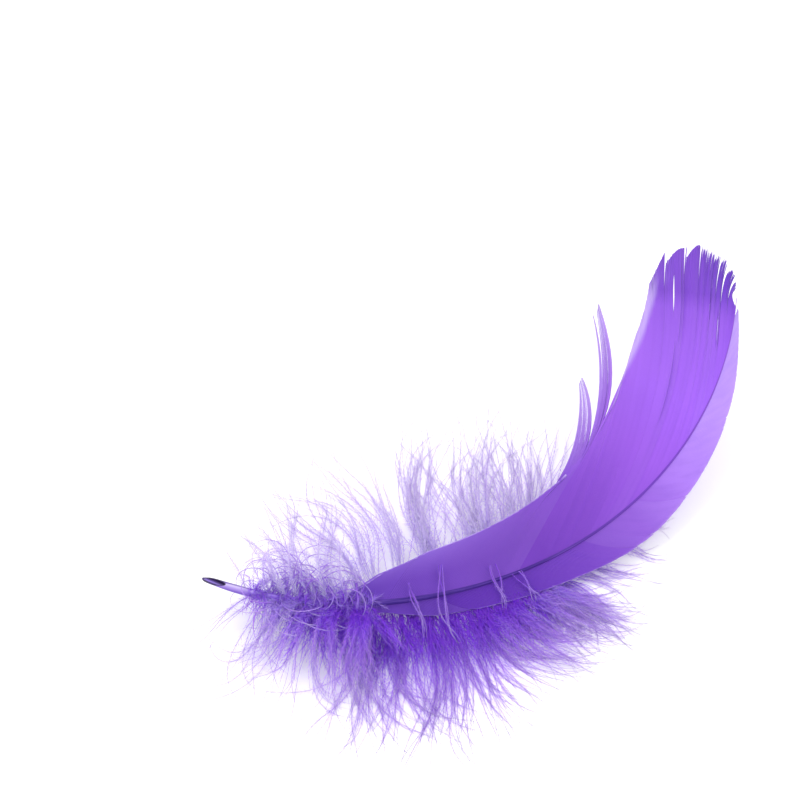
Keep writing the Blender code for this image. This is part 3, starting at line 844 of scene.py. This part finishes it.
def short_threads(count, shares, sides, angles, lengths, height, bend, fall, seed, pale, inset=0.0,
                  root_fringe=OPEN_FRINGE):
    """Short threads along the shaft; with an inset each starts beyond the shaft and crosses over it.

    Angles and bend are in degrees and lengths in mm, and each thread gets its own between the two
    given. Height is that of its arch, and fall the share of its root's height by which it comes
    down, with the power of that curve.
    """
    chance = np.random.default_rng(seed)
    s = np.linspace(0, 1, THREAD_SAMPLES)
    paths, fringes, tones = [], [], []
    for root_share in np.linspace(*shares, count):
        side = sides[int(chance.integers(len(sides)))]
        away = np.polynomial.polynomial.polyval(root_share, HEADING) + side * chance.uniform(*angles)
        reach = chance.uniform(*lengths) * MM
        turn = np.radians(away + chance.uniform(*bend) * chance.choice((-1, 1)) * s ** 1.3)
        turn += 0.25 * wave(chance, s, 0.7, 1.6) * s
        step = reach / (THREAD_SAMPLES - 1)
        begin = shaft_centre(root_share) - inset * chance.uniform(0, 1) * np.array(
            (math.cos(turn[0]), math.sin(turn[0]), 0))
        arc = np.sin(math.pi * np.minimum(s * chance.uniform(0.7, 1.1), 1))
        rise = begin[2] * (1 - fall[0] * s ** fall[1]) + chance.uniform(0.4, 1) * height * arc
        paths.append(np.stack([*walk(begin, turn, step), np.maximum(rise, THREAD_RADIUS)], axis=-1))
        growth = np.clip(root_fringe + FRINGE_GROWTH * s, 0, 1)
        fringes.append(growth * np.clip(1 - s / chance.uniform(0.8, 1.0), 0, 1) ** 0.4)
        tones.append(np.full(THREAD_SAMPLES, chance.uniform(*pale)))
    return np.array(paths), np.array(fringes), np.array(tones)


# name, threads, look, seed and sizes, as make_down takes them
for name, threads, look, seed, sizes in (
        ("down_collar", short_threads(
            180, (0.072, 0.245), (1, -1), (40, 130), (5, 10), 1.8 * MM, (0, 70), (0.4, 2), 31, (0.0, 0.6),
            inset=2.4 * MM),
         dict(radius=0.08 * MM, fringe_length=1.8 * MM, ripeness=0.6), 31,
         dict(Spacing=0.16 * MM, Thickness=0.044)),
        ("down_web", short_threads(
            96, (0.14, 0.24), (-1,), (58, 112), (8, 17), 1.4 * MM, (0, 50), (0.5, 2), 32, (-0.2, 0.2)),
         dict(ripeness=0.42), 32,
         dict(Spacing=0.16 * MM, Thickness=0.038, Lean=0.7)),
        ("down_web_under_vane", short_threads(
            280, (UNDER_VANE_SHARE, 0.46), (-1,), (50, 106), (10, 18), 0.0, (0, 40), (0.95, 0.6), 35,
            (-0.3, 0.0), root_fringe=COVERED_FRINGE),
         dict(fringe_length=1.8 * MM, ripeness=0.42), 35,
         dict(Spacing=0.15 * MM, Thickness=0.046)),
        ("down_curls", short_threads(
            56, (0.095, 0.18), (1, 1, 1, -1), (50, 115), (12, 21), 4.0 * MM, (90, 300), (0.3, 2), 43,
            (0.4, 1.1)),
         dict(radius=0.13 * MM, fringe_length=0.8 * MM), 33,
         dict(Spacing=0.2 * MM, Thickness=0.03))):
    make_down(name, threads, seed, look, **sizes)

# Barbs lying over the vane
# A few long down barbs have flopped across the shaft and lie on the vane, pale against it. They are
# rooted in the shaft like the rest of the down, and only rest where they lie.
CROSSING_BARBS = (  # places along each: share of the shaft, distance in mm, below zero on the narrow side
    ((0.347, 6.0), (0.339, -1.3), (0.342, -6.7), (0.349, -11.1)),
    ((0.228, 4.3), (0.221, -0.8), (0.201, -6.4)),
    ((0.422, 3.2), (0.421, -2.2), (0.418, -6.4)),
    ((0.450, 0.1), (0.460, -4.3), (0.459, -7.2)),
    ((0.301, 3.4), (0.305, -2.9), (0.309, -8.5)),
)
CROSSING_CLEARANCE = 1.0 * MM
THREADS_PER_CROSSING = 3
CROSSING_WAVER = 0.004                       # share of the shaft by which a thread wavers
CROSSING_SPREAD = 0.002                      # share of the shaft by which threads side by side differ

chance = np.random.default_rng(9)
s = np.linspace(0, 1, THREAD_SAMPLES)
paths, fringes, tones = [], [], []
for places in CROSSING_BARBS:
    knots = np.linspace(0, 1, len(places))
    share_line = np.polynomial.Polynomial.fit(knots, [share for share, _ in places], len(places) - 1)
    offset_line = np.polynomial.Polynomial.fit(knots, [offset for _, offset in places], len(places) - 1)
    for _ in range(THREADS_PER_CROSSING):
        waver = CROSSING_WAVER * wave(chance, s, 0.6, 1.1)
        share = share_line(s) + chance.normal(0, CROSSING_SPREAD) + waver
        offset = offset_line(s) * MM
        wide, wide_up = vane_surface(1, share, np.maximum(offset, 0))
        narrow, narrow_up = vane_surface(-1, share, np.maximum(-offset, 0))
        blend = np.clip(offset / MM + 0.5, 0, 1)[:, None]
        path = blend * wide + (1 - blend) * narrow
        path += (blend * wide_up + (1 - blend) * narrow_up) * CROSSING_CLEARANCE * chance.uniform(0.8, 1.8)
        paths.append(path)
        fringes.append(np.sin(math.pi * np.clip(0.1 + s, 0, 1)) ** 0.5)
        tones.append(np.full(THREAD_SAMPLES, chance.uniform(0.1, 0.4)))
make_down("down_over_vane", (np.array(paths), np.array(fringes), np.array(tones)), 34,
          dict(radius=0.16 * MM, fringe_length=1.4 * MM), Thickness=0.02, Lean=0.35)
